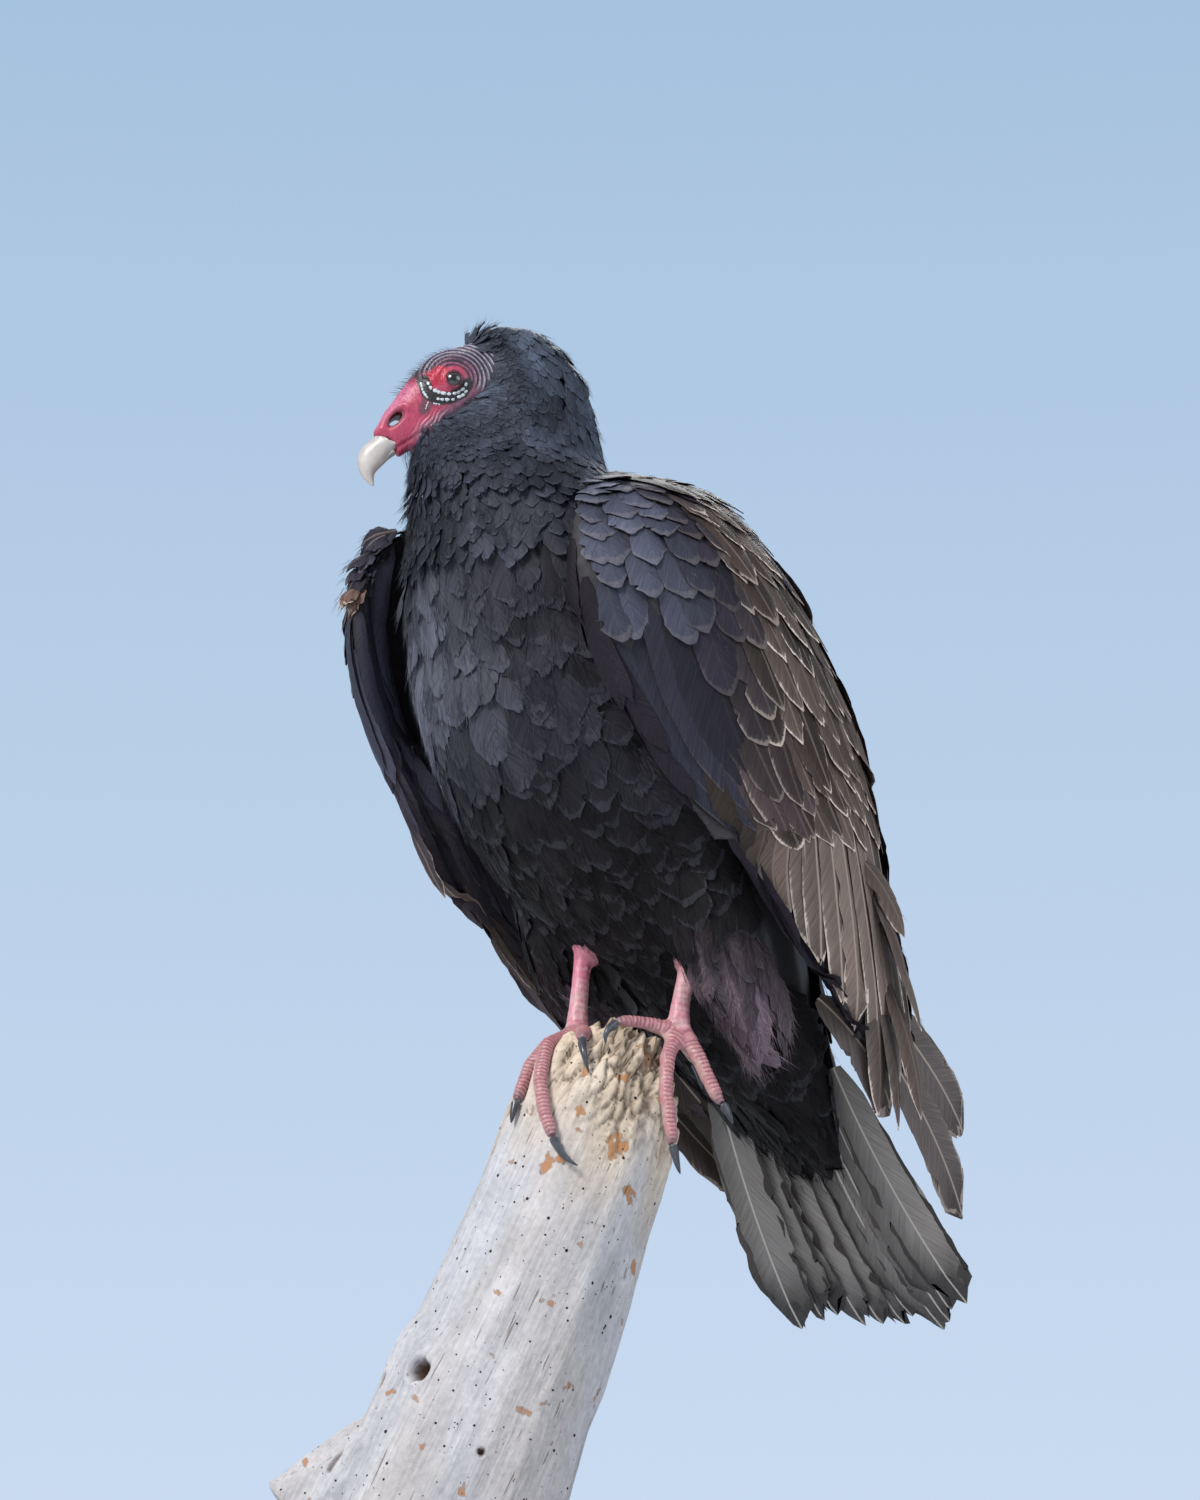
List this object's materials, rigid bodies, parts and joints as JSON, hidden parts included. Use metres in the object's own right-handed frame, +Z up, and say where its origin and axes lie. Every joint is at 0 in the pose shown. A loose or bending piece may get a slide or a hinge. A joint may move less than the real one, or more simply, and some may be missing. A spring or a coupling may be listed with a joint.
{
  "type": "vulture",
  "caption": "Life-size still model of a turkey vulture gripping the broken tip of a dead branch, head turned and looking down, on a plain round display stand.",
  "frame": {"origin": "centre of the stand base's underside, where it meets the table", "axes": "+Z up; the bird's breast faces -Y and its left side is +X; its head is turned 38 degrees to its right"},
  "size_m": [0.3465, 0.4437, 0.8098],
  "materials": {
    "dark_plumage": "matte black-brown feathers with a slate sheen",
    "wing_plumage": "dark brown feathers with pale buff edges",
    "tail_plumage": "silvery grey feather undersides",
    "red_skin": "bare crimson skin, folded and faintly moist",
    "ivory_horn": "smooth ivory horn",
    "eye": "wet, grey-brown iris round a black pupil",
    "leg_scale": "dry pink scales",
    "claw": "dark slate horn",
    "dead_wood": "weathered, bleached grey, with ochre stains and beetle holes",
    "stand_black": "matte black",
    "stand_steel": "brushed"
  },
  "bodies": {
    "root": {"head": "red_skin", "bill_upper": "ivory_horn", "bill_lower": "ivory_horn", "eye_left": "eye", "eye_right": "eye", "neck": "dark_plumage", "trunk": "dark_plumage", "tarsus_left": "leg_scale", "thigh_left": "dark_plumage", "toe_middle_left": "leg_scale", "claw_middle_left": "claw", "toe_outer_left": "leg_scale", "claw_outer_left": "claw", "toe_inner_left": "leg_scale", "claw_inner_left": "claw", "toe_hind_left": "leg_scale", "claw_hind_left": "claw", "wing_coverts_left": "wing_plumage", "wing_secondaries_left": "wing_plumage", "wing_primary_1_left": "wing_plumage", "wing_primary_2_left": "wing_plumage", "wing_primary_3_left": "wing_plumage", "tarsus_right": "leg_scale", "thigh_right": "dark_plumage", "toe_middle_right": "leg_scale", "claw_middle_right": "claw", "toe_outer_right": "leg_scale", "claw_outer_right": "claw", "toe_inner_right": "leg_scale", "claw_inner_right": "claw", "toe_hind_right": "leg_scale", "claw_hind_right": "claw", "wing_coverts_right": "wing_plumage", "wing_secondaries_right": "wing_plumage", "wing_primary_1_right": "wing_plumage", "wing_primary_2_right": "wing_plumage", "wing_primary_3_right": "wing_plumage", "ruffle_right": "wing_plumage", "tail_feather_1": "tail_plumage", "tail_feather_2": "tail_plumage", "tail_feather_3": "tail_plumage", "tail_feather_4": "tail_plumage", "tail_feather_5": "tail_plumage", "tail_feather_6": "tail_plumage", "tail_feather_7": "tail_plumage", "perch": "dead_wood", "stand_base": "stand_black", "stand_rod_1": "stand_steel", "stand_rod_2": "stand_steel"}
  },
  "joints": []
}
